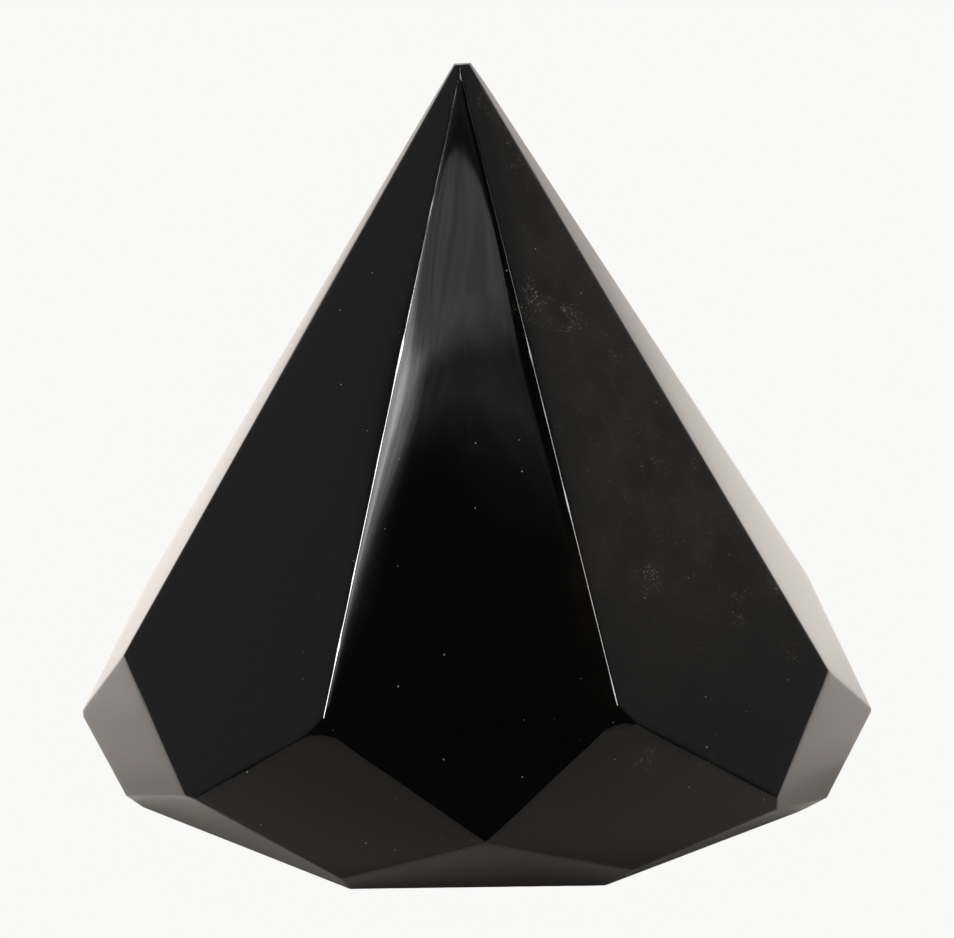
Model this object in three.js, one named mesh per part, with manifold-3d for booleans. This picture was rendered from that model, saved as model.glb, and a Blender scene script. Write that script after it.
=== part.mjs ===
// Hand-cut stone of golden sheen obsidian: one solid of flat facets that rises to a small blunt tip.
//
// Millimetres, +Z up. The origin is on the table that the stone rests on, under the middle of its
// girdle, and the front facet looks along -Y.
//
// The stone is built as it was ground. A round blank is set against a flat lap at one angle after
// another, and all that is outside each plane goes. From the top down there are
//   the crown, eight long facets that lean in to the tip,
//   the girdle, eight nearly upright facets set half a step round from the crown's,
//   the pavilion, eight facets that slope in under the girdle, each below a crown facet,
//   the table, the broad flat that the stone stands on.

import * as THREE from 'three';
import { mergeVertices } from 'three/addons/utils/BufferGeometryUtils.js';
import Module from 'manifold-3d';

// Driving dimensions, in millimetres and degrees
const HEIGHT = 76;
const SIDES = [
  'front', 'frontRight', 'right', 'backRight', 'back', 'backLeft', 'left', 'frontLeft',
];
const STEP = 360 / SIDES.length;
const PEAK = new THREE.Vector3(-1.4, -0.7, 78.2);
const CROWN_LEAN = 30;
const GIRDLE_LEAN = -1.5;
const GIRDLE_OUT = 37.8;
const PAVILION_LEAN = -49.5;
const PAVILION_OUT = 21.2;

// The tip is ground off, a little lower at its back. The front crown facet's upper end is rubbed
// down, from a point this far below its peak.
const TIP_FLAT = { heading: 200, lean: 82 };
const TIP_WEAR = { heading: 6, lean: 35, down: 0.9 };

// Where two crown facets meet a girdle facet, some corners are rubbed blunt to the depth given here
// under the girdle facet's name. The flat faces along the mean of the three facets, with the girdle
// facet counted GIRDLE_SHARE times.
const CORNER_WEAR = { frontLeft: 0.3, front: 0.3, back: 0.25 };
const GIRDLE_SHARE = 2.5;

// No facet of a stone held by hand comes out quite even. A named one departs from the pattern by
// turn, in degrees towards the right, by lean, in degrees upwards, and by out, in millimetres.
const CROWN_WANDER = {
  front: { turn: -2.5, lean: -0.5, out: 0.5 },
  frontRight: { turn: 0.5, lean: 1, out: -0.3 },
  right: { turn: -0.5, lean: 1.5, out: -0.6 },
  backRight: { turn: 0, lean: 0.5, out: 0.4 },
  back: { turn: 1, lean: 0, out: -0.2 },
  backLeft: { turn: 0, lean: -0.5, out: 0.1 },
  left: { turn: -2.5, lean: -0.5, out: -0.3 },
  frontLeft: { turn: -0.5, lean: -1, out: 0.2 },
};

// A girdle facet has the name of the crown facet on its left, seen from outside.
const GIRDLE_WANDER = {
  front: { turn: 0.5, lean: 2, out: 0.3 },
  frontRight: { turn: -0.5, lean: 0, out: 0.5 },
  right: { turn: -0.5, lean: 0, out: -0.1 },
  backRight: { turn: 1, lean: 0.5, out: 0.2 },
  back: { turn: 0, lean: -1, out: 0 },
  backLeft: { turn: -0.5, lean: 0, out: 0.3 },
  left: { turn: 1.5, lean: -1, out: -0.2 },
  frontLeft: { turn: 0.5, lean: -0.5, out: -0.4 },
};

const PAVILION_WANDER = {
  front: { turn: 2, lean: 3, out: 1.1 },
  frontRight: { turn: -1, lean: -5, out: -2.8 },
  right: { turn: 0, lean: 0, out: 0.4 },
  backRight: { turn: 1, lean: 1.5, out: 0.5 },
  back: { turn: -1.5, lean: 2, out: 0.8 },
  backLeft: { turn: 0, lean: 1, out: 0.6 },
  left: { turn: 0, lean: -0.5, out: 1 },
  frontLeft: { turn: 0, lean: 3.5, out: 1.1 },
};

// The blank, and the block of air that stands for all that a cut takes away
const BLANK_RADIUS = 60;
const BLANK_SEGMENTS = 32;
const BLANK_TOP = 90;
const BLANK_BOTTOM = -10;
const CUT_SPAN = 300;
const MERGE_GAP = 1e-5;

const OBSIDIAN_COLOUR = 0x0b0a09;

const wasm = await Module();
wasm.setup();

// A closed solid that can be cut, from a three.js geometry
function toSolid(geometry) {
  const bare = geometry.clone();
  bare.deleteAttribute('normal');
  bare.deleteAttribute('uv');
  const merged = mergeVertices(bare, MERGE_GAP);
  return new wasm.Manifold(new wasm.Mesh({
    numProp: 3,
    vertProperties: new Float32Array(merged.attributes.position.array),
    triVerts: new Uint32Array(merged.index.array),
  }));
}

// A three.js geometry, from a solid that has been cut
function toGeometry(solid) {
  const mesh = solid.getMesh();
  const geometry = new THREE.BufferGeometry();
  geometry.setAttribute('position', new THREE.BufferAttribute(mesh.vertProperties, 3));
  geometry.setIndex(new THREE.BufferAttribute(mesh.triVerts, 1));
  geometry.computeVertexNormals();
  return geometry;
}

// A facet's outward normal from its heading, counted from the front towards the right, and its lean
// above the horizontal
function facing(heading, lean) {
  const turned = THREE.MathUtils.degToRad(heading);
  const raised = THREE.MathUtils.degToRad(lean);
  return new THREE.Vector3(
    Math.cos(raised) * Math.sin(turned),
    -Math.cos(raised) * Math.cos(turned),
    Math.sin(raised),
  );
}

// A facet's plane: all points whose distance from the origin along the normal is out
function plane(normal, out) {
  return { normal, out };
}

// One plane for each side, from the ring's angles and that side's wander. The planes of an even
// ring all lie at the distance out from the pivot.
function ring(startHeading, lean, out, wander, pivot) {
  return SIDES.map((side, i) => {
    const own = wander[side];
    const normal = facing(startHeading + i * STEP + own.turn, lean + own.lean);
    return plane(normal, normal.dot(pivot) + out + own.out);
  });
}

// The point where three planes meet
function corner(a, b, c) {
  const rows = new THREE.Matrix3().set(
    a.normal.x, a.normal.y, a.normal.z,
    b.normal.x, b.normal.y, b.normal.z,
    c.normal.x, c.normal.y, c.normal.z,
  );
  return new THREE.Vector3(a.out, b.out, c.out).applyMatrix3(rows.invert());
}

// The small flat that blunts the corner of two crown facets and the girdle facet under them
function bluntedCorner(left, right, under, depth) {
  const normal = left.normal.clone().add(right.normal).addScaledVector(under.normal, GIRDLE_SHARE);
  normal.normalize();
  return plane(normal, normal.dot(corner(left, right, under)) - depth);
}

// The flat that rubs down a crown facet's upper end, from a point below its peak
function wornEnd(facet, left, right) {
  const across = new THREE.Vector3(-facet.normal.y, facet.normal.x, 0).normalize();
  const downhill = new THREE.Vector3().crossVectors(across, facet.normal);
  const start = corner(facet, left, right).addScaledVector(downhill, TIP_WEAR.down);
  const normal = facing(TIP_WEAR.heading, TIP_WEAR.lean);
  return plane(normal, normal.dot(start));
}

// The block of air outside a facet's plane
function waste(facet) {
  const block = new THREE.BoxGeometry(CUT_SPAN, CUT_SPAN, CUT_SPAN);
  block.translate(0, 0, facet.out + CUT_SPAN / 2);
  const up = new THREE.Vector3(0, 0, 1);
  block.applyQuaternion(new THREE.Quaternion().setFromUnitVectors(up, facet.normal));
  return toSolid(block);
}

// The round blank, upright
function blank() {
  const length = BLANK_TOP - BLANK_BOTTOM;
  const cylinder = new THREE.CylinderGeometry(BLANK_RADIUS, BLANK_RADIUS, length, BLANK_SEGMENTS);
  cylinder.rotateX(Math.PI / 2);
  cylinder.translate(0, 0, BLANK_BOTTOM + length / 2);
  return toSolid(cylinder);
}

// The whole stone: the blank less the waste outside every facet
function stone() {
  const centre = new THREE.Vector3();
  const crown = ring(0, CROWN_LEAN, 0, CROWN_WANDER, PEAK);
  const girdle = ring(STEP / 2, GIRDLE_LEAN, GIRDLE_OUT, GIRDLE_WANDER, centre);
  const pavilion = ring(0, PAVILION_LEAN, PAVILION_OUT, PAVILION_WANDER, centre);
  const table = plane(new THREE.Vector3(0, 0, -1), 0);

  const tipNormal = facing(TIP_FLAT.heading, TIP_FLAT.lean);
  const tip = plane(tipNormal, tipNormal.dot(new THREE.Vector3(PEAK.x, PEAK.y, HEIGHT)));

  const crownFacet = (side) => crown[SIDES.indexOf(side)];
  const tipWorn = wornEnd(crownFacet('front'), crownFacet('frontLeft'), crownFacet('frontRight'));
  const cornersWorn = Object.entries(CORNER_WEAR).map(([side, depth]) => {
    const i = SIDES.indexOf(side);
    return bluntedCorner(crown[i], crown[(i + 1) % SIDES.length], girdle[i], depth);
  });

  const facets = [...crown, ...girdle, ...pavilion, table, tip, tipWorn, ...cornersWorn];
  return facets.reduce((rough, facet) => rough.subtract(waste(facet)), blank());
}

const obsidian = new THREE.MeshStandardMaterial({
  color: OBSIDIAN_COLOUR,
  roughness: 0.08,
  metalness: 0,
});

const faceted_stone = new THREE.Mesh(toGeometry(stone()), obsidian);
faceted_stone.name = 'faceted_stone';

const group = new THREE.Group();
group.add(faceted_stone);

export default group;
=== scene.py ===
"""Golden sheen obsidian: a hand-cut, polished stone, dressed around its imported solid.

The stone is one lump of black volcanic glass with flat facets. This script rounds its arrises as a
hand polisher's felt does, gives the glass its depth, dust and golden inclusions, and stands it on a
pale floor in soft studio light.
"""

from __future__ import annotations

import logging
import math
from dataclasses import dataclass, field
from enum import Enum

import bmesh
import bpy
import numpy as np
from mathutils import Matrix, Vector, noise


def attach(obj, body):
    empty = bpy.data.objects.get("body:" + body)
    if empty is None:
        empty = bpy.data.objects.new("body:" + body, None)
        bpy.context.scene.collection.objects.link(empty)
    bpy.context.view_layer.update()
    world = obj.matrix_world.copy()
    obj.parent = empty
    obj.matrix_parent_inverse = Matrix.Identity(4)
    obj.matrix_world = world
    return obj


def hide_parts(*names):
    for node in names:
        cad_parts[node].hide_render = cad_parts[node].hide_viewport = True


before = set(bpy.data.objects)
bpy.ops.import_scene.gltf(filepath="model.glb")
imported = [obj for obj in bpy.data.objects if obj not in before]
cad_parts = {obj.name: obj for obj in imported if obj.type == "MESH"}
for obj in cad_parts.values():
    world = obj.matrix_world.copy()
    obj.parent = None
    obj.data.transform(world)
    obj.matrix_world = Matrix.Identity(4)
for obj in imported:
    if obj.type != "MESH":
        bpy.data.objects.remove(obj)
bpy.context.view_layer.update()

log = logging.getLogger("obsidian")

MM = 0.001
STONE_NODE = "faceted_stone"
BACKDROP = "#f9f9f8"

# The two material slots of the fine mesh tell its facets from its rounded arrises, whose faces
# belong to no facet.
FACET_SLOT = 0
ARRIS_SLOT = 1
NO_FACET = -1

# A node's input is fed by a value, by another node's output, or by a node, which then stands for its
# first output. A band is one face of a rounded arris, with the two corners of one end.
Tree = bpy.types.NodeTree
Node = bpy.types.Node
Socket = bpy.types.NodeSocket
Feed = float | tuple[float, ...] | Socket | Node
Inputs = list[Feed] | dict[str | int, Feed]
Band = tuple[bmesh.types.BMFace, Vector, Vector]

# With this setting a Map Range node steps smoothly. Its inputs are the value, the step's start and
# end, which may lie either way round, and the results before and after it, or else 0 and 1.
SMOOTH = {"interpolation_type": "SMOOTHSTEP"}


def linear(hex_colour: str) -> tuple[float, float, float, float]:
    """Turns an sRGB hex colour to linear light.

    Args:
        hex_colour: Six hex digits with a leading #.

    Returns:
        Red, green, blue and full alpha for a colour socket.
    """
    parts = [int(hex_colour[i : i + 2], 16) / 255 for i in (1, 3, 5)]
    light = [c / 12.92 if c <= 0.04045 else ((c + 0.055) / 1.055) ** 2.4 for c in parts]
    return (*light, 1.0)


def add_node(tree: Tree, kind: str, inputs: Inputs | None = None, **settings: object) -> Node:
    """Adds a node with its settings, values and links.

    Args:
        tree: The node tree that gets the node.
        kind: The node's type name, less the ShaderNode at its start.
        inputs: What feeds the node's inputs, as a list in their order, or by name or number.
        settings: The node's own properties.

    Returns:
        The new node.
    """
    node = tree.nodes.new("ShaderNode" + kind)
    for name, value in settings.items():
        setattr(node, name, value)
    pairs = inputs.items() if isinstance(inputs, dict) else enumerate(inputs or [])
    for key, value in pairs:
        source = value.outputs[0] if isinstance(value, Node) else value
        if isinstance(source, Socket):
            tree.links.new(source, node.inputs[key])
        else:
            node.inputs[key].default_value = source
    return node


def deselect_all() -> None:
    """Leaves no object selected."""
    bpy.ops.object.select_all(action="DESELECT")


def activate(piece: bpy.types.Object) -> None:
    """Selects one object alone and makes it the active one.

    Args:
        piece: The object.
    """
    deselect_all()
    piece.select_set(True)
    bpy.context.view_layer.objects.active = piece


@dataclass(frozen=True)
class FacetOutline:
    """A flat facet as cut: its normal, its middle and its border lines."""

    normal: Vector
    centre: Vector
    points: tuple[Vector, ...]
    inwards: tuple[Vector, ...]

    @classmethod
    def of(cls, face: bmesh.types.BMFace) -> FacetOutline:
        """Reads a facet's outline from a flat face.

        Args:
            face: The face, before its border is divided.

        Returns:
            The outline, with one inward direction for each border line.
        """
        points = tuple(v.co.copy() for v in face.verts)
        ends = points[1:] + points[:1]
        inwards = tuple(face.normal.cross(b - a).normalized() for a, b in zip(points, ends))
        return cls(face.normal.copy(), face.calc_center_median(), points, inwards)

    def gaps(self, spots: np.ndarray) -> np.ndarray:
        """Measures how far spots lie inside each border line.

        Args:
            spots: Points, one a row.

        Returns:
            One row for each spot, one column for each border line.
        """
        starts = np.array(self.points)
        lines = np.array(self.inwards)
        return np.einsum("sld,ld->sl", spots[:, None, :] - starts[None, :, :], lines)


@dataclass(frozen=True)
class RubbedStretch:
    """A stretch of an arris that the felt has rubbed wider than the rest."""

    middle: Vector
    reach: float
    width: float


@dataclass
class PolishedStone:
    """The stone's fine surface: facets a hair rounder than flat, and rubbed arrises.

    A facet polished by hand on felt isn't quite flat. It is crowned a little all over, and it rolls
    over within a millimetre of its arrises, more in some places than in others.
    """

    name: str = "polished_stone"

    # How steeply a facet falls off at its border over its whole width, and where it rolls over
    crown_slope: float = math.tan(math.radians(2.0))
    roll_slope: float = math.tan(math.radians(10.0))
    roll_width: float = 0.16 * MM
    roll_spread: float = 0.12 * MM
    roll_patch: float = 14 * MM
    least_drift: float = -0.8
    wide_stretch: RubbedStretch = RubbedStretch(Vector((-8.2, -18.4, 47.5)) * MM, 10 * MM, 1.15 * MM)
    rub_reach: float = 0.18 * MM

    # The nicks follow a smooth pattern that seldom comes near 1, so the gain makes up for it
    arris_width: float = 0.2 * MM
    arris_steps: int = 3
    nick_depth: float = 0.025 * MM
    nick_gain: float = 3.0
    nick_spacing: float = 0.9 * MM

    # Lines shorter than the corner widths, counted in arris widths, belong to a rounded corner and
    # stay whole. A facet whose normal points further down than the table facing is the table.
    shortest_arris: float = 0.12 * MM
    same_facet_angle: float = math.radians(0.4)
    corner_widths: float = 3.0
    border_step: float = 1.2 * MM
    rings: int = 20
    least_gap: float = 0.0001 * MM
    table_facing: float = -0.95

    outlines: dict[int, FacetOutline] = field(default_factory=dict)

    def build(self) -> bpy.types.Object:
        """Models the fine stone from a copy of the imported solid.

        Returns:
            The finished mesh object, at the origin.
        """
        stone = self.copy_of_solid()
        self.merge_into_facets()
        self.rub_arrises()
        self.divide_arrises(stone)
        self.ring_facets(stone)
        self.crown_facets(stone)
        self.nick_arrises(stone)
        bpy.ops.object.mode_set(mode="OBJECT")
        bpy.ops.object.shade_smooth()
        return stone

    def copy_of_solid(self) -> bpy.types.Object:
        """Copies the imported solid's mesh into an object of its own, and enters edit mode.

        Returns:
            The copy, with an empty material slot for the facets and one for the arrises.
        """
        stone = bpy.data.objects.new(self.name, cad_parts[STONE_NODE].data.copy())
        bpy.context.collection.objects.link(stone)
        stone.data.materials.clear()
        for _ in (FACET_SLOT, ARRIS_SLOT):
            stone.data.materials.append(None)
        activate(stone)
        bpy.ops.mesh.customdata_custom_splitnormals_clear()
        bpy.ops.object.mode_set(mode="EDIT")
        return stone

    def merge_into_facets(self) -> None:
        """Joins the loose triangles, and dissolves them to one face for each facet."""
        bpy.ops.mesh.select_mode(type="FACE")
        bpy.ops.mesh.select_all(action="SELECT")
        bpy.ops.mesh.remove_doubles(threshold=self.shortest_arris)
        bpy.ops.mesh.dissolve_limited(angle_limit=self.same_facet_angle)

    def rub_arrises(self) -> None:
        """Rounds every arris to a narrow band, whose faces get the material slot for arrises."""
        bpy.ops.mesh.select_all(action="SELECT")
        bpy.ops.mesh.bevel(
            offset_type="WIDTH",
            offset=self.arris_width,
            segments=self.arris_steps,
            profile=0.5,
            affect="EDGES",
            clamp_overlap=False,
            material=ARRIS_SLOT,
        )

    def divide_arrises(self, stone: bpy.types.Object) -> None:
        """Keeps the facets' outlines, numbers the facets, and divides every arris along its length.

        Args:
            stone: The stone, in edit mode.
        """
        shape = bmesh.from_edit_mesh(stone.data)
        number = shape.faces.layers.int.new("facet")
        for i, face in enumerate(shape.faces):
            face[number] = NO_FACET if face.material_index == ARRIS_SLOT else i
            if face[number] != NO_FACET:
                self.outlines[i] = FacetOutline.of(face)
        done: set[bmesh.types.BMEdge] = set()
        for edge in list(shape.edges):
            if edge not in done and edge.calc_length() > self.corner_widths * self.arris_width:
                lines, bands = self.along_arris(edge)
                done.update(lines)
                cuts = round(edge.calc_length() / self.border_step) - 1
                if cuts > 0:
                    bmesh.ops.bisect_edges(shape, edges=lines, cuts=cuts)
                    for band, start, end in bands:
                        self.split_band(band, start, end)
        bmesh.update_edit_mesh(stone.data)

    def along_arris(self, edge: bmesh.types.BMEdge) -> tuple[list[bmesh.types.BMEdge], list[Band]]:
        """Gathers the lines that run side by side along one arris, and the bands between them.

        Args:
            edge: Any one of the lines.

        Returns:
            The lines, and for each band its face with the two corners of one end, as positions.
        """
        lines, waiting = [edge], [edge]
        bands: list[Band] = []
        while waiting:
            line = waiting.pop()
            for face in line.link_faces:
                if face.material_index == FACET_SLOT or len(face.verts) != 4:
                    continue
                other = next(e for e in face.edges if not set(e.verts) & set(line.verts))
                if other not in lines:
                    start = line.verts[0]
                    side = next(e for e in face.edges if start in e.verts and e != line)
                    end = side.other_vert(start)
                    lines.append(other)
                    bands.append((face, start.co.copy(), end.co.copy()))
                    waiting.append(other)
        return lines, bands

    def split_band(self, band: bmesh.types.BMFace, start: Vector, end: Vector) -> None:
        """Cuts a divided band across, from each point of one side to its fellow on the other.

        Args:
            band: The band's face.
            start: Where one side begins.
            end: Where the other side begins.
        """
        verts = list(band.verts)
        first = min(verts, key=lambda vert: (vert.co - start).length)
        last = min(verts, key=lambda vert: (vert.co - end).length)
        turn = verts.index(first)
        verts = verts[turn:] + verts[:turn]
        if verts[1] == last:
            verts = verts[:1] + verts[:0:-1]
        half = len(verts) // 2
        for a, b in list(zip(verts[:half], reversed(verts[half:])))[1:-1]:
            common = set(a.link_faces) & set(b.link_faces)
            bmesh.utils.face_split(common.pop(), a, b)

    def ring_facets(self, stone: bpy.types.Object) -> None:
        """Draws rings inside each facet, each the border's outline made smaller.

        The rings lie closest where the facet rolls over to its arris.

        Args:
            stone: The stone, in edit mode.
        """
        shape = bmesh.from_edit_mesh(stone.data)
        number = shape.faces.layers.int["facet"]
        for face in shape.faces:
            face.select_set(face[number] != NO_FACET)
        bmesh.update_edit_mesh(stone.data)
        before = 1.0
        for ring in range(1, self.rings + 1):
            size = 1 - (ring / (self.rings + 1)) ** 2
            bpy.ops.mesh.extrude_faces_move(TRANSFORM_OT_shrink_fatten={"value": 0.0})
            shape = bmesh.from_edit_mesh(stone.data)
            number = shape.faces.layers.int["facet"]
            for face in (f for f in shape.faces if f.select):
                centre = self.outlines[face[number]].centre
                for vert in face.verts:
                    vert.co = centre + (vert.co - centre) * (size / before)
            bmesh.update_edit_mesh(stone.data)
            before = size

    def roll_widths(self, spots: np.ndarray) -> np.ndarray:
        """Says how far in from the arris the facet rolls over, which varies from place to place.

        Args:
            spots: Points, one a row.

        Returns:
            One width for each spot.
        """
        drift = np.array([noise.noise(Vector(spot) / self.roll_patch) for spot in spots])
        widths = self.roll_width + self.roll_spread * np.clip(drift, self.least_drift, 1.0)
        wide = self.wide_stretch
        away = np.linalg.norm(spots - np.array(wide.middle), axis=1) / wide.reach
        return widths + (wide.width - self.roll_width) * np.exp(-(away**2))

    def crown_facets(self, stone: bpy.types.Object) -> None:
        """Raises each facet but the table to its polished, slightly round shape.

        Each vertex also gets how rubbed and how rolled the surface is there, from 0 to 1, which the
        glass's finish reads.

        Args:
            stone: The stone, in edit mode.
        """
        shape = bmesh.from_edit_mesh(stone.data)
        number = shape.faces.layers.int["facet"]
        rubbed = shape.verts.layers.float.new("rubbed")
        rolled = shape.verts.layers.float.new("rolled")
        inside: dict[int, list[bmesh.types.BMVert]] = {}
        for vert in shape.verts:
            owners = {face[number] for face in vert.link_faces}
            vert[rubbed] = vert[rolled] = 1.0
            if len(owners) == 1 and NO_FACET not in owners:
                inside.setdefault(owners.pop(), []).append(vert)
        for i, verts in inside.items():
            outline = self.outlines[i]
            spots = np.array([vert.co for vert in verts])
            gaps = np.maximum(outline.gaps(spots), self.least_gap)
            widths = self.roll_widths(spots)
            crown = self.crown_slope / (1 / gaps).sum(1)
            roll = self.roll_slope * widths * np.prod(1 - np.exp(-gaps / widths[:, None]), axis=1)
            nearest = gaps.min(1)
            heights = (crown + roll) * (outline.normal.z > self.table_facing)
            for vert, height, near, width in zip(verts, heights, nearest, widths):
                vert.co += outline.normal * float(height)
                vert[rubbed] = math.exp(-near / self.rub_reach)
                vert[rolled] = math.exp(-near / width)
        bmesh.update_edit_mesh(stone.data)

    def nick_arrises(self, stone: bpy.types.Object) -> None:
        """Wears the middle of each arris down unevenly, where the brittle glass has lost tiny flakes.

        Args:
            stone: The stone, in edit mode.
        """
        shape = bmesh.from_edit_mesh(stone.data)
        number = shape.faces.layers.int["facet"]
        for vert in shape.verts:
            if all(face[number] == NO_FACET for face in vert.link_faces):
                flake = noise.noise(vert.co / self.nick_spacing)
                vert.co -= vert.normal * self.nick_depth * max(0.0, flake) ** 2 * self.nick_gain
        bmesh.update_edit_mesh(stone.data)


@dataclass(frozen=True)
class Cluster:
    """A small cloud of golden flecks: its middle and reach in millimetres, and its strength."""

    middle: tuple[float, float, float]
    reach: float
    strength: float = 1.0

    def cloud(self, tree: Tree, place: Socket) -> Node:
        """Adds the nodes for the cloud's share of a place.

        Args:
            tree: The material's node tree.
            place: Socket with the object coordinates.

        Returns:
            Node with the share, from 0 to the strength.
        """
        spot = tuple(x * MM for x in self.middle)
        away = add_node(tree, "VectorMath", [place, spot], operation="DISTANCE").outputs["Value"]
        return add_node(tree, "MapRange", [away, self.reach * MM, 0.0, 0.0, self.strength], **SMOOTH)


@dataclass(frozen=True)
class VolcanicGlass:
    """Obsidian, cut and polished to a wet gloss.

    Volcanic glass with an index of about 1.49, near black in the lump, so all that the eye gets is
    its reflections, some dust, and where gas left flat inclusions a faint gold sheen, which is painted
    into its colour as a warm haze.
    """

    name: str = "polished_obsidian"
    body: str = "#030303"
    # The warm haze colour is painted sheen: light off the inclusions, put into the glass's colour
    painted_sheen: str = "#1f1b13"
    fleck: str = "#6f7062"
    dust: str = "#807c72"
    ior: float = 1.49
    roughness: float = 0.03
    rubbed_roughness: float = 0.1
    dust_roughness: float = 0.5

    # The gold haze, a painted sheen in the glass's colour, fills a band of headings round the stone,
    # in degrees, whose borders a broad pattern bends, and it thins out in clouds and towards the
    # table.
    sheen_start: float = 20.0
    sheen_full: float = 34.0
    sheen_thinning: float = 90.0
    sheen_end: float = 130.0
    sheen_bottom: float = 14.0 * MM
    sheen_top: float = 34.0 * MM
    patch_width: float = 22.0 * MM
    patch_bend: float = 10.0
    cloud_width: float = 6.0 * MM
    cloud_start: float = 0.3
    cloud_full: float = 0.75
    thinnest_haze: float = 0.25

    # Real platelets are thinner than 0.06 mm. They are drawn as thick as they need to be to show.
    # Their borders are soft, from and to these shares of their size.
    fleck_spacing: float = 0.36 * MM
    fleck_length: float = 0.55 * MM
    fleck_width: float = 0.06 * MM
    fleck_outside: float = 1.6
    fleck_inside: float = 0.4
    fleck_core: float = 0.5
    dullest_fleck: float = 0.2
    stray_share: float = 0.12
    cluster_haze: float = 0.5
    crowd_grain: float = 2.2 * MM
    grain_start: float = 0.38
    grain_full: float = 0.62

    # Household dust, one speck at most in each cell of this spacing, and none in the bare share
    speck_spacing: float = 1.5 * MM
    speck_radius: float = 0.11 * MM
    speck_core: float = 0.4
    bare_share: float = 0.5

    # Felt leaves strokes far finer than 0.2 mm. They are drawn as coarse as they need to be to show.
    wave_length: float = 5.0 * MM
    wave_height: float = 0.004 * MM
    streak_gap: float = 0.2 * MM
    streak_length: float = 7.0 * MM
    streak_height: float = 0.002 * MM
    stone_radius: float = 20.0 * MM

    # From the tip down
    clusters: tuple[Cluster, ...] = (
        Cluster((0.9, -2.6, 72.3), 2.8, 0.7),
        Cluster((3.9, -5.2, 68.2), 2.6, 0.6),
        Cluster((5.4, -13.2, 55.0), 3.8),
        Cluster((8.9, -11.7, 52.5), 3.2),
        Cluster((13.5, -10.4, 48.7), 1.5, 0.7),
        Cluster((7.9, -20.5, 43.5), 1.2, 0.9),
        Cluster((16.7, -15.7, 38.7), 2.2),
        Cluster((22.4, -11.2, 37.1), 1.8, 0.7),
        Cluster((17.0, -23.6, 29.0), 2.6, 0.8),
        Cluster((26.5, -18.3, 24.1), 3.0, 0.6),
        Cluster((30.2, -13.6, 25.1), 2.0, 0.7),
        Cluster((31.7, -17.0, 19.4), 2.0, 0.6),
        Cluster((16.3, -34.3, 14.2), 2.6, 0.6),
        Cluster((7.0, -38.3, 11.0), 1.8, 0.5),
        Cluster((22.7, -31.6, 13.1), 1.8, 0.5),
    )

    def make(self) -> bpy.types.Material:
        """Builds the glass with its nodes.

        Returns:
            The material.
        """
        material = bpy.data.materials.new(self.name)
        material.use_nodes = True
        tree = material.node_tree
        tree.nodes.clear()
        place = add_node(tree, "TexCoord").outputs["Object"]
        axes = add_node(tree, "SeparateXYZ", [place]).outputs
        ahead = add_node(tree, "Math", [axes["Y"], -1], operation="MULTIPLY")
        turn = add_node(tree, "Math", [axes["X"], ahead], operation="ARCTAN2")
        rubbed = add_node(tree, "Attribute", attribute_name="rubbed").outputs["Fac"]
        rolled = add_node(tree, "Attribute", attribute_name="rolled").outputs["Fac"]
        painted_sheen_haze, flecks = self.gold(tree, place, turn, axes["Z"])
        specks = self.specks(tree, place)

        # A Mix node takes its share at input 0 and its colours at 6 and 7, and gives one at output 2
        tone = linear(self.body)
        # The haze lays painted sheen over the body colour; the flecks and specks are the glass's own
        # marks
        for share, colour in ((painted_sheen_haze, self.painted_sheen), (flecks, self.fleck), (specks, self.dust)):
            inputs = {0: share, 6: tone, 7: linear(colour)}
            tone = add_node(tree, "Mix", inputs, data_type="RGBA").outputs[2]

        rougher = self.rubbed_roughness - self.roughness
        matt = add_node(tree, "Math", [rubbed, rougher, self.roughness], operation="MULTIPLY_ADD")
        matt = add_node(tree, "Math", [specks, self.dust_roughness, matt], operation="MULTIPLY_ADD")
        normal = self.polish(tree, place, turn, axes["Z"], rolled)
        inputs = {"Base Color": tone, "Roughness": matt, "IOR": self.ior, "Normal": normal}
        shader = add_node(tree, "BsdfPrincipled", inputs)
        add_node(tree, "OutputMaterial", {"Surface": shader})
        return material

    def gold(self, tree: Tree, place: Socket, turn: Node, rise: Socket) -> tuple[Node, Node]:
        """Finds the golden inclusions: a haze in cloudy patches, which paints their sheen into the
        colour, and flecks that crowd in clusters.

        They lie in the right side of the lump, where a gas-rich flow band ran through it.

        Args:
            tree: The material's node tree.
            place: Socket with the object coordinates.
            turn: Node with the heading round the stone, in radians.
            rise: Socket with the height above the table.

        Returns:
            Nodes with the amount of painted sheen haze and of flecks, from 0 to 1.
        """
        inputs = {"Vector": place, "Scale": 1 / self.patch_width, "Detail": 2.0}
        patch = add_node(tree, "TexNoise", inputs)
        degrees = add_node(tree, "Math", [turn], operation="DEGREES")
        bent = add_node(tree, "Math", [patch, self.patch_bend, degrees], operation="MULTIPLY_ADD")
        start = add_node(tree, "MapRange", [bent, self.sheen_start, self.sheen_full], **SMOOTH)
        end = add_node(tree, "MapRange", [bent, self.sheen_end, self.sheen_thinning], **SMOOTH)
        band = add_node(tree, "Math", [start, end], operation="MULTIPLY")
        raised = add_node(tree, "MapRange", [rise, self.sheen_bottom, self.sheen_top], **SMOOTH)
        band = add_node(tree, "Math", [band, raised], operation="MULTIPLY")
        inputs = {"Vector": place, "Scale": 1 / self.cloud_width, "Detail": 4.0, "Roughness": 0.6}
        cloud = add_node(tree, "TexNoise", inputs)
        inputs = [cloud, self.cloud_start, self.cloud_full, self.thinnest_haze, 1.0]
        cloud = add_node(tree, "MapRange", inputs, **SMOOTH)
        painted_sheen_haze = add_node(tree, "Math", [band, cloud], operation="MULTIPLY")

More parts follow.
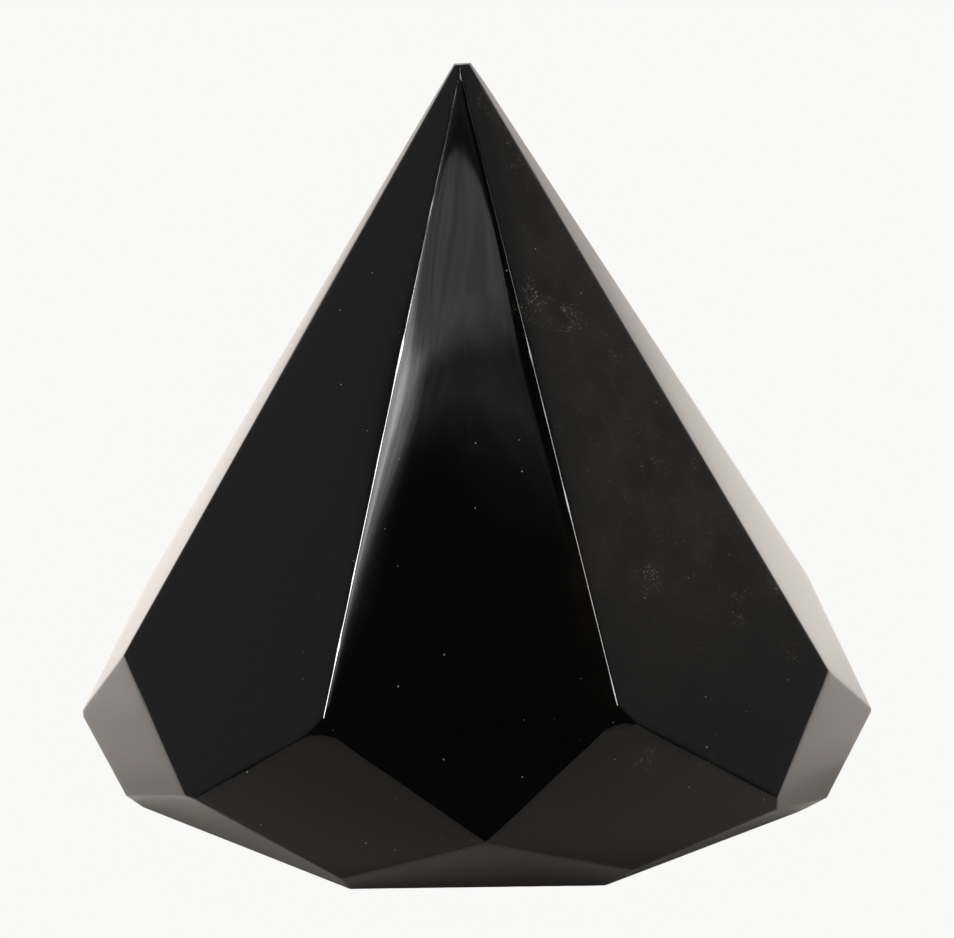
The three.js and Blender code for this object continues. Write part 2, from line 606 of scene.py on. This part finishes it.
        crowd = add_node(tree, "Math", [band, self.stray_share], operation="MULTIPLY")
        for cluster in self.clusters:
            crowd = add_node(tree, "Math", [crowd, cluster.cloud(tree, place)], operation="ADD")
        inputs = {"Vector": place, "Scale": 1 / self.crowd_grain, "Detail": 2.0}
        grain = add_node(tree, "TexNoise", inputs)
        grain = add_node(tree, "MapRange", [grain, self.grain_start, self.grain_full], **SMOOTH)
        crowd = add_node(tree, "Math", [crowd, grain], operation="MULTIPLY")
        inputs = [crowd, self.cluster_haze, painted_sheen_haze]
        painted_sheen_haze = add_node(tree, "Math", inputs, operation="MULTIPLY_ADD", use_clamp=True)
        plates = self.platelets(tree, place)
        flecks = add_node(tree, "Math", [plates, crowd], operation="MULTIPLY", use_clamp=True)
        return painted_sheen_haze, flecks

    def platelets(self, tree: Tree, place: Socket) -> Node:
        """Fills the glass with tiny flat plates, which the polished surface cuts to short strokes.

        Args:
            tree: The material's node tree.
            place: Socket with the object coordinates.

        Returns:
            Node that is above 0 in a plate, from 0 to 1.
        """
        inputs = {0: place, "Scale": 1.0 / self.fleck_spacing}
        scaled = add_node(tree, "VectorMath", inputs, operation="SCALE")
        grid = add_node(tree, "TexVoronoi", {"Vector": scaled, "Scale": 1.0}).outputs
        away = add_node(tree, "VectorMath", [scaled, grid["Position"]], operation="SUBTRACT")
        facing = add_node(tree, "VectorMath", [grid["Color"], (0.5, 0.5, 0.5)], operation="SUBTRACT")
        facing = add_node(tree, "VectorMath", [facing], operation="NORMALIZE")
        along = add_node(tree, "VectorMath", [away, facing], operation="DOT_PRODUCT").outputs["Value"]
        through = add_node(tree, "Math", [along], operation="ABSOLUTE")
        reach = add_node(tree, "VectorMath", [away], operation="LENGTH").outputs["Value"]
        half_length = self.fleck_length / 2 / self.fleck_spacing
        half_width = self.fleck_width / 2 / self.fleck_spacing
        inputs = [through, half_width * self.fleck_outside, half_width * self.fleck_inside]
        thin = add_node(tree, "MapRange", inputs, **SMOOTH)
        inputs = [reach, half_length, half_length * self.fleck_core]
        small = add_node(tree, "MapRange", inputs, **SMOOTH)
        shine = add_node(tree, "SeparateColor", [grid["Color"]]).outputs["Blue"]
        bright = add_node(tree, "MapRange", [shine, self.dullest_fleck, 1.0], **SMOOTH)
        plate = add_node(tree, "Math", [thin, small], operation="MULTIPLY")
        return add_node(tree, "Math", [plate, bright], operation="MULTIPLY")

    def specks(self, tree: Tree, place: Socket) -> Node:
        """Scatters specks of dust over the surface.

        Args:
            tree: The material's node tree.
            place: Socket with the object coordinates.

        Returns:
            Node with how much of the surface is dust, from 0 to 1.
        """
        inputs = {"Vector": place, "Scale": 1 / self.speck_spacing}
        grains = add_node(tree, "TexVoronoi", inputs).outputs
        radius = self.speck_radius / self.speck_spacing
        inputs = [grains["Distance"], radius, radius * self.speck_core]
        near = add_node(tree, "MapRange", inputs, **SMOOTH)
        share = add_node(tree, "SeparateColor", [grains["Color"]]).outputs["Red"]
        chosen = add_node(tree, "MapRange", [share, self.bare_share, 1.0], **SMOOTH)
        return add_node(tree, "Math", [near, chosen], operation="MULTIPLY")

    def polish(self, tree: Tree, place: Socket, turn: Node, rise: Socket, rolled: Socket) -> Node:
        """Gives the surface the slow waves and the fine strokes of hand polishing.

        The strokes run from the tip down, and show where a facet rolls over to its arris.

        Args:
            tree: The material's node tree.
            place: Socket with the object coordinates.
            turn: Node with the heading round the stone, in radians.
            rise: Socket with the height above the table.
            rolled: Socket with how far the surface has rolled over, from 0 to 1.

        Returns:
            Node with the surface's normal.
        """
        inputs = {"Vector": place, "Scale": 1 / self.wave_length, "Detail": 1.0}
        waves = add_node(tree, "TexNoise", inputs)
        strokes_round = self.stone_radius / self.streak_gap
        across = add_node(tree, "Math", [turn, strokes_round], operation="MULTIPLY")
        down = add_node(tree, "Math", [rise, self.streak_length], operation="DIVIDE")
        lines = add_node(tree, "CombineXYZ", [across, down])
        strokes = add_node(tree, "TexNoise", {"Vector": lines, "Scale": 1.0, "Detail": 2.0})
        depth = add_node(tree, "Math", [rolled, self.streak_height], operation="MULTIPLY")
        cut = add_node(tree, "Math", [strokes, depth], operation="MULTIPLY")
        total = add_node(tree, "Math", [waves, self.wave_height, cut], operation="MULTIPLY_ADD")
        return add_node(tree, "Bump", {"Height": total, "Distance": 1.0})


class Softness(Enum):
    """How far a light card fades out at its border, in degrees."""

    CRISP = 0.06
    PLAIN = 0.8
    SOFT = 1.5
    WIDE = 4.0


@dataclass(frozen=True)
class LightCard:
    """A bright panel that the stone reflects, placed by direction from the stone, in degrees.

    The lean is how much higher its top edge stands for each degree of heading to the right, and the
    foot lean is the same for its bottom edge.
    """

    heading: float
    height: float
    half_width: float
    half_height: float
    radiance: float
    sides: Softness = Softness.WIDE
    top: Softness = Softness.SOFT
    bottom: Softness = Softness.SOFT
    lean: float = 0.0
    foot_lean: float = 0.0

    def glow(self, tree: Tree, heading: Node, height: Node) -> Node:
        """Adds the nodes that light the card's part of the sky.

        Args:
            tree: The world's node tree.
            heading: Node with the direction's heading from the front, in degrees.
            height: Node with the direction's height above the horizon, in degrees.

        Returns:
            Node with the card's radiance in that direction.
        """
        away = add_node(tree, "Math", [heading, self.heading], operation="SUBTRACT")
        away = add_node(tree, "Math", [away, 180, -180], operation="WRAP")
        side, top, bottom = self.sides.value, self.top.value, self.bottom.value
        high, low = self.height + self.half_height, self.height - self.half_height
        off_middle = add_node(tree, "Math", [away], operation="ABSOLUTE")
        inputs = [off_middle, self.half_width + side, self.half_width - side]
        across = add_node(tree, "MapRange", inputs, **SMOOTH)
        below_head = add_node(tree, "Math", [away, -self.lean, height], operation="MULTIPLY_ADD")
        above_foot = add_node(tree, "Math", [away, -self.foot_lean, height], operation="MULTIPLY_ADD")
        under = add_node(tree, "MapRange", [below_head, high + top, high - top], **SMOOTH)
        above = add_node(tree, "MapRange", [above_foot, low - bottom, low + bottom], **SMOOTH)
        upright = add_node(tree, "Math", [under, above], operation="MULTIPLY")
        share = add_node(tree, "Math", [across, upright], operation="MULTIPLY")
        return add_node(tree, "Math", [share, self.radiance], operation="MULTIPLY")


@dataclass(frozen=True)
class FloorLight:
    """A soft light for the floor, placed by direction from the stone, in degrees."""

    name: str
    heading: float
    height: float
    spread: float
    floor_share: float

    def hang(self, albedo: float) -> None:
        """Adds the light, as strong as it has to be for its share of a white floor.

        Args:
            albedo: How much light the floor gives back.
        """
        up, turn = math.radians(self.height), math.radians(self.heading)
        lamp = bpy.data.lights.new(self.name, "SUN")
        lamp.angle = math.radians(self.spread)
        lamp.energy = self.floor_share * math.pi / albedo / math.sin(up)
        light = bpy.data.objects.new(self.name, lamp)
        bpy.context.collection.objects.link(light)
        towards = Vector((math.cos(up) * math.sin(turn), -math.cos(up) * math.cos(turn), math.sin(up)))
        light.rotation_euler = towards.to_track_quat("Z", "Y").to_euler()
        light.visible_glossy = False


@dataclass(frozen=True)
class PalePaper:
    """Warm white paper, which scatters light evenly and has no gloss.

    Its colour is darkened far out and towards the camera, a painted shade that stands in for the light
    falling off there. The camera itself sees the plain backdrop, as in the photograph, so only the
    stone shows the paper. From below it is clear, so that the stone's table can be looked at.
    """

    name: str = "pale_paper"
    tone: str = "#efe7df"
    mean_albedo: float = 0.8
    # Where and how far the paper's colour is darkened, far out and towards the camera, as painted
    # shade
    lit_radius: float = 80 * MM
    dim_radius: float = 450 * MM
    dim_share: float = 0.55
    lit_side: float = 5 * MM
    dim_side: float = -80 * MM
    dim_side_share: float = 0.35

    def make(self) -> bpy.types.Material:
        """Builds the paper with its nodes.

        Returns:
            The material.
        """
        material = bpy.data.materials.new(self.name)
        material.use_nodes = True
        tree = material.node_tree
        tree.nodes.clear()
        place = add_node(tree, "TexCoord").outputs["Object"]
        # Painted shade: the paper's colour falls off far out and towards the camera, in place of light
        # leaving it
        far = add_node(tree, "VectorMath", [place], operation="LENGTH").outputs["Value"]
        inputs = [far, self.lit_radius, self.dim_radius, 1.0, self.dim_share]
        painted_shade_outwards = add_node(tree, "MapRange", inputs, **SMOOTH)
        depth = add_node(tree, "SeparateXYZ", [place]).outputs["Y"]
        inputs = [depth, self.dim_side, self.lit_side, self.dim_side_share, 1.0]
        painted_shade_forwards = add_node(tree, "MapRange", inputs, **SMOOTH)
        lit = add_node(tree, "Math", [painted_shade_outwards, painted_shade_forwards], operation="MULTIPLY")
        inputs = {0: linear(self.tone)[:3], "Scale": lit}
        tone = add_node(tree, "VectorMath", inputs, operation="SCALE")
        paper = add_node(tree, "BsdfDiffuse", {"Color": tone})
        plain = add_node(tree, "Emission", {"Color": linear(BACKDROP)})
        seen = add_node(tree, "LightPath").outputs["Is Camera Ray"]
        above = add_node(tree, "MixShader", [seen, paper, plain])
        clear = add_node(tree, "BsdfTransparent")
        below = add_node(tree, "NewGeometry").outputs["Backfacing"]
        sheet = add_node(tree, "MixShader", [below, above, clear])
        add_node(tree, "OutputMaterial", {"Surface": sheet})
        return material


@dataclass
class Studio:
    """A pale floor, a soft room of light round the stone, and the camera."""

    # The floor lies a hair under the stone's table, so that the two never share a plane
    paper: PalePaper = PalePaper()
    floor_radius: float = 2.5
    floor_corners: int = 96
    floor_gap: float = 0.02 * MM

    # The room's greys change with how far back a direction points, from -1 at the camera's side of
    # the stone to 1 behind it.
    front_dark: float = 0.03
    side_grey: float = 0.33
    side_start: float = -0.45
    side_full: float = 0.1
    back_grey: float = 0.65
    back_start: float = 0.25
    back_full: float = 0.85
    fill_share: float = 0.1

    # The cards are lit unevenly, by this pattern and between these shares of their light
    mottle_scale: float = 75.0
    mottle_start: float = 0.3
    mottle_full: float = 0.7
    mottle_dim: float = 0.8
    mottle_bright: float = 1.2

    cards: tuple[LightCard, ...] = (
        # The long glow down the front facet: its head, its foot, and its brighter left side
        LightCard(
            -20, 44.72, 21, 1.63, 1.25,
            sides=Softness.PLAIN, top=Softness.CRISP, bottom=Softness.PLAIN, foot_lean=0.1,
        ),
        LightCard(-20, 42.15, 21, 2.25, 0.45, sides=Softness.PLAIN, foot_lean=0.15),
        LightCard(-20, 42.55, 8, 1.95, 3.2, top=Softness.PLAIN),
        LightCard(-32, 42.55, 10, 1.95, 6.5, top=Softness.PLAIN),
        # The bright lines along the front facet's left arris and its right one
        LightCard(-59, 35.5, 8, 5.0, 60, sides=Softness.PLAIN, top=Softness.PLAIN, lean=0.26),
        LightCard(51, 39.5, 9, 5.0, 22, sides=Softness.SOFT, lean=-0.19),
        # The faint light above the glow, and the pale worn flat at the tip
        LightCard(-20, 49.6, 21, 2.8, 0.2, sides=Softness.PLAIN, bottom=Softness.PLAIN),
        LightCard(10, 63, 16, 7, 9, sides=Softness.SOFT),
    )

    # The stone doesn't reflect these lamps. Each one gives its share of a white floor's light.
    floor_lights: tuple[FloorLight, ...] = (
        FloorLight("behind", -175, 10, 24, 0.034),
        FloorLight("behind_right", 155, 20, 24, 0.153),
        FloorLight("high_back_left", -135, 50, 28, 0.334),
        FloorLight("right", 125, 10, 18, 0.129),
        FloorLight("left", -120, 12, 20, 0.04),
        FloorLight("left_low", -70, 12, 20, 0.07),
        FloorLight("front_left", -30, 50, 24, 0.225),
        FloorLight("front", 0, 10, 18, 0.037),
    )

    # The camera's lens is as long as this many pixels of a picture with this width
    camera_distance: float = 450 * MM
    camera_height_angle: float = 17.0
    camera_target: tuple[float, float, float] = (-0.05 * MM, 0.0, 33.23 * MM)
    focal_pixels: float = 4350.0
    picture_width: float = 954.0
    sensor_width: float = 36.0
    nearest_seen: float = 10 * MM
    farthest_seen: float = 20.0

    def build(self) -> None:
        """Makes the floor, the room, the lights and the camera."""
        self.make_floor()
        self.make_room()
        for light in self.floor_lights:
            light.hang(self.paper.mean_albedo)
        self.make_camera()
        bpy.context.scene.view_settings.view_transform = "Standard"

    def make_floor(self) -> None:
        """Lays a round sheet of paper under the stone."""
        deselect_all()
        bpy.ops.mesh.primitive_circle_add(
            vertices=self.floor_corners,
            radius=self.floor_radius,
            fill_type="NGON",
            location=(0.0, 0.0, -self.floor_gap),
        )
        bpy.ops.object.transform_apply(location=True, rotation=False, scale=False)
        floor = bpy.context.object
        floor.name = "pale_floor"
        floor.data.materials.append(self.paper.make())

    def make_room(self) -> None:
        """Paints the room by direction: dark ahead, grey at the sides, lighter behind, and the cards.

        The floor gets only a small share of it, because its light comes from lamps of its own.
        """
        world = bpy.data.worlds.new("soft_room")
        world.cycles.sampling_method = "NONE"
        bpy.context.scene.world = world
        world.use_nodes = True
        tree = world.node_tree
        tree.nodes.clear()
        way = add_node(tree, "TexCoord").outputs["Generated"]
        axes = add_node(tree, "SeparateXYZ", [way]).outputs
        ahead = add_node(tree, "Math", [axes["Y"], -1], operation="MULTIPLY")
        turn = add_node(tree, "Math", [axes["X"], ahead], operation="ARCTAN2")
        heading = add_node(tree, "Math", [turn], operation="DEGREES")
        rise = add_node(tree, "Math", [axes["Z"]], operation="ARCSINE")
        height = add_node(tree, "Math", [rise], operation="DEGREES")
        inputs = [axes["Y"], self.side_start, self.side_full, self.front_dark, self.side_grey]
        sides = add_node(tree, "MapRange", inputs, **SMOOTH)
        lift = self.back_grey - self.side_grey
        inputs = [axes["Y"], self.back_start, self.back_full, 0.0, lift]
        back = add_node(tree, "MapRange", inputs, **SMOOTH)
        greys = add_node(tree, "Math", [sides, back], operation="ADD")
        lit = 0.0
        for card in self.cards:
            lit = add_node(tree, "Math", [lit, card.glow(tree, heading, height)], operation="ADD")
        inputs = {"Vector": way, "Scale": self.mottle_scale, "Detail": 1.0}
        mottle = add_node(tree, "TexNoise", inputs)
        inputs = [mottle, self.mottle_start, self.mottle_full, self.mottle_dim, self.mottle_bright]
        mottle = add_node(tree, "MapRange", inputs, **SMOOTH)
        total = add_node(tree, "Math", [lit, mottle, greys], operation="MULTIPLY_ADD")
        rays = add_node(tree, "LightPath").outputs
        inputs = [rays["Diffuse Depth"], 0.0, 1.0, 1.0, self.fill_share]
        fill = add_node(tree, "MapRange", inputs, **SMOOTH)
        strength = add_node(tree, "Math", [total, fill], operation="MULTIPLY")
        room = add_node(tree, "Background", {"Strength": strength})
        plain = add_node(tree, "Background", {"Color": linear(BACKDROP)})
        both = add_node(tree, "MixShader", [rays["Is Camera Ray"], room, plain])
        add_node(tree, "OutputWorld", {"Surface": both})

    def make_camera(self) -> None:
        """Stands the camera where the photograph was taken from."""
        lens = bpy.data.cameras.new("camera")
        lens.sensor_width = self.sensor_width
        lens.lens = self.focal_pixels / self.picture_width * self.sensor_width
        lens.clip_start = self.nearest_seen
        lens.clip_end = self.farthest_seen
        camera = bpy.data.objects.new("camera", lens)
        bpy.context.collection.objects.link(camera)
        up = math.radians(self.camera_height_angle)
        back = Vector((0.0, -math.cos(up), math.sin(up)))
        camera.location = Vector(self.camera_target) + back * self.camera_distance
        camera.rotation_euler = (-back).to_track_quat("-Z", "Y").to_euler()
        bpy.context.scene.camera = camera


def main() -> None:
    """Builds the studio and the stone."""
    logging.basicConfig(level=logging.INFO, format="%(name)s: %(message)s")
    Studio().build()
    stone = PolishedStone().build()
    glass = VolcanicGlass().make()
    for i in range(len(stone.data.materials)):
        stone.data.materials[i] = glass
    log.info("%s has %d faces", stone.name, len(stone.data.polygons))
    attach(stone, "root")
    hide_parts(STONE_NODE)


if __name__ == "__main__":
    main()
